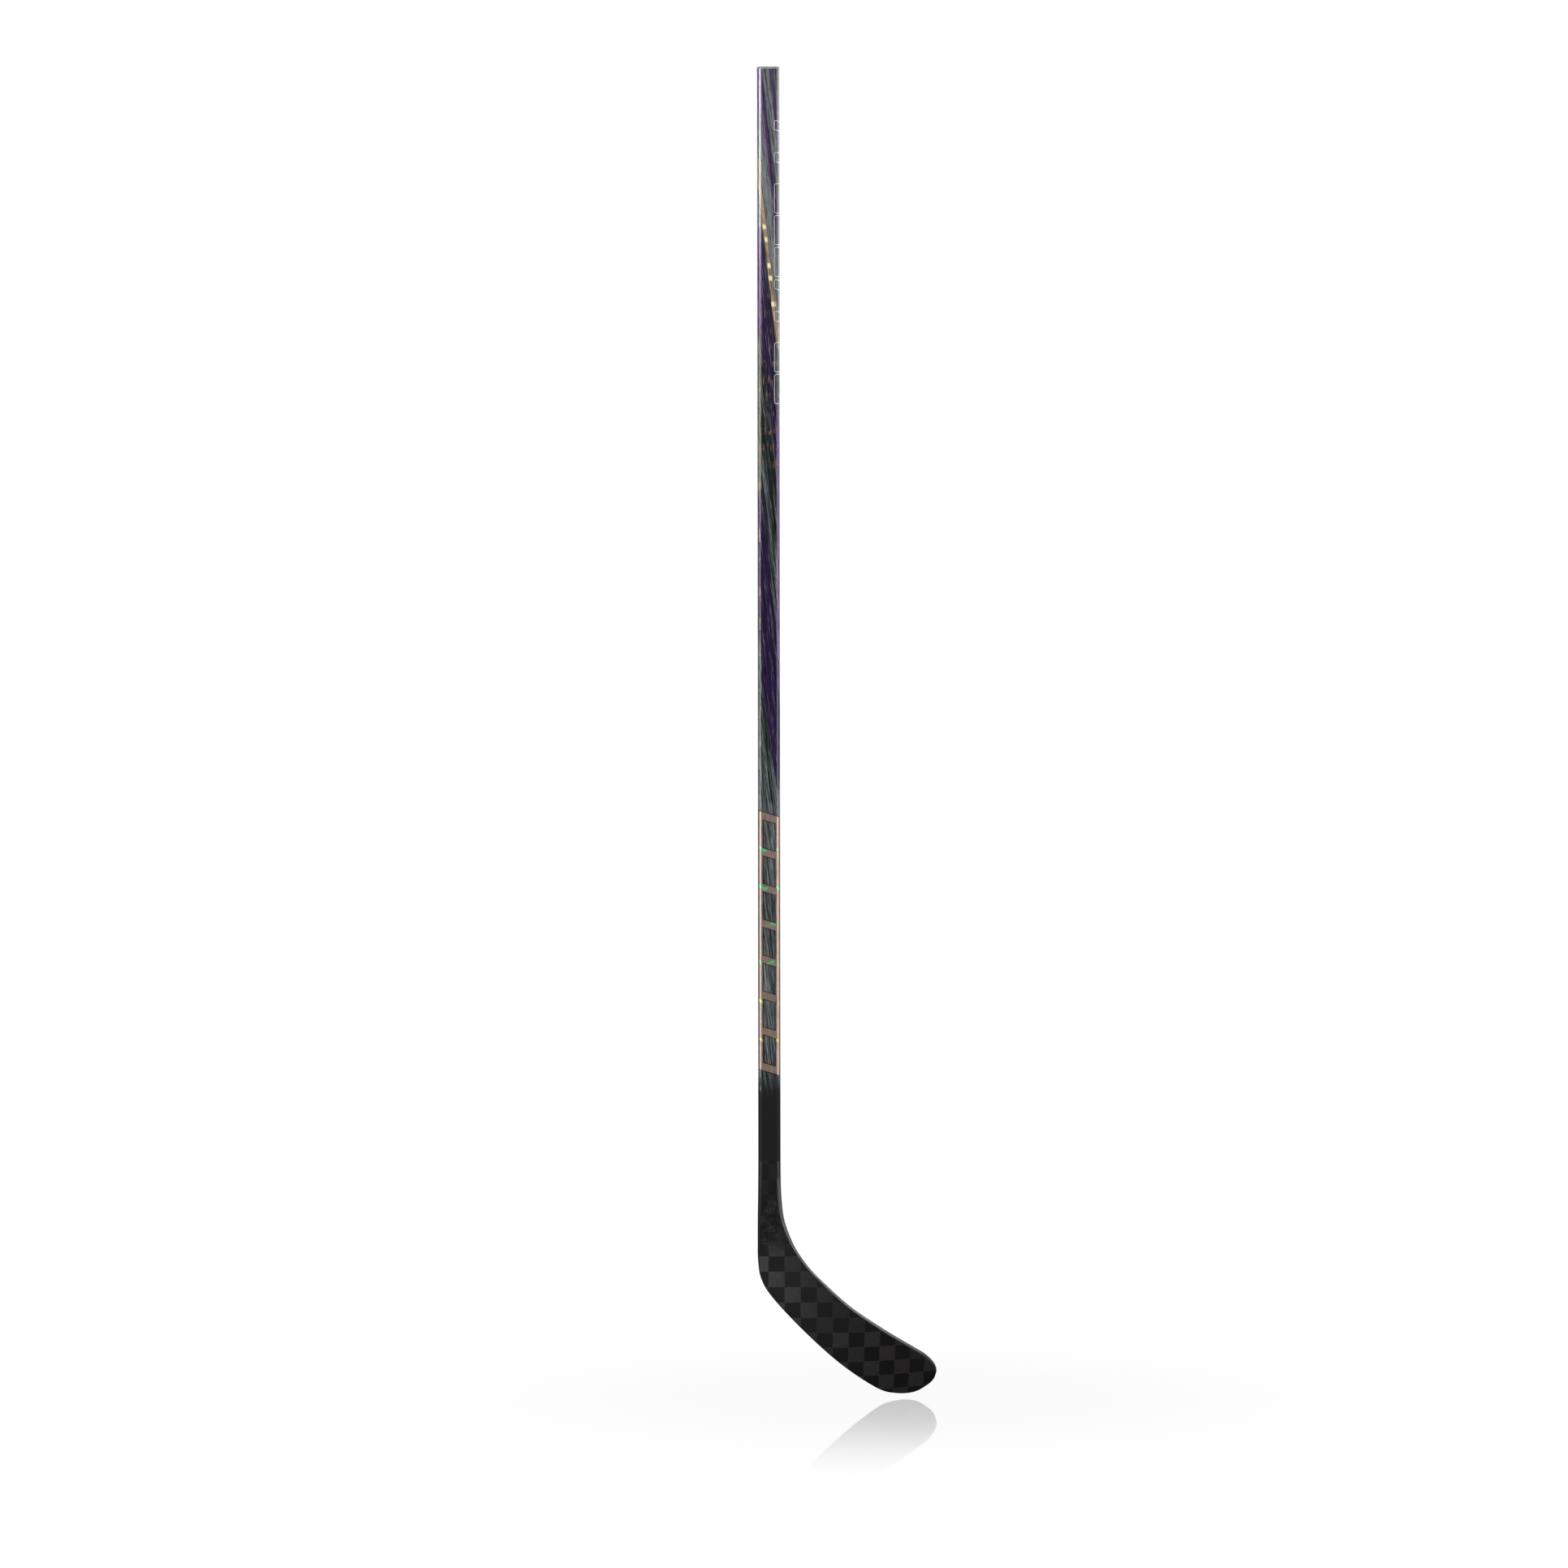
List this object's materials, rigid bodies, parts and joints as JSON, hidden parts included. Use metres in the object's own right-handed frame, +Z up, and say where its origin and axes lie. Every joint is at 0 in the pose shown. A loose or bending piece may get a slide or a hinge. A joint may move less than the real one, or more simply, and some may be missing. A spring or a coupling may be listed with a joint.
{
  "type": "ice hockey stick",
  "caption": "Right-handed composite ice hockey stick: straight hollow rectangular shaft with a pull-out butt plug, tapered hosel and curved foam-cored blade.",
  "frame": {"origin": "the heel point on the centre line of the shaft, 1524 mm below the top of the butt plug", "axes": "+Z up the shaft to the butt end, +X to the toe side, +Y to the forehand side that the blade curves to"},
  "size_m": [0.2265, 0.0649, 1.6723],
  "materials": {
    "plug_plastic": "satin grey moulded plastic",
    "glossy_laminate": "clear-coated woven ply with purple, silver and dark green strands",
    "bare_laminate": "uncoated carbon laminate",
    "liner_film": "nylon film",
    "core_foam": "structural foam",
    "filled_resin": "fibre-filled resin",
    "toe_elastomer": "firm elastomer",
    "blade_weave": "satin spread-tow checker weave",
    "edge_laminate": "satin carbon roving",
    "foil": "rose-gold iridescent foil",
    "pale_film": "pale printed film"
  },
  "bodies": {
    "stick": {"shaft_outer_ply": "glossy_laminate", "shaft_torsion_plies": "bare_laminate", "shaft_axial_plies": "bare_laminate", "shaft_inner_ply": "bare_laminate", "bladder_liner": "liner_film", "tenon_sleeve": "bare_laminate", "tenon_core": "core_foam", "hosel_core": "core_foam", "heel_block": "filled_resin", "lower_foam_core": "core_foam", "upper_foam_core": "core_foam", "core_rib": "bare_laminate", "toe_insert": "toe_elastomer", "backhand_skin": "bare_laminate", "forehand_skin": "bare_laminate", "backhand_face": "blade_weave", "forehand_face": "blade_weave", "upper_edge": "edge_laminate", "lower_edge": "edge_laminate", "backhand_foil": "foil", "forehand_foil": "foil", "outline_blocks": "pale_film"},
    "plug": {"butt_plug": "plug_plastic"}
  },
  "joints": [
    {"name": "plug_pull", "type": "slide", "parent": "stick", "child": "plug", "axis": [0, 0, 1], "range_m": [0, 0.06]}
  ]
}
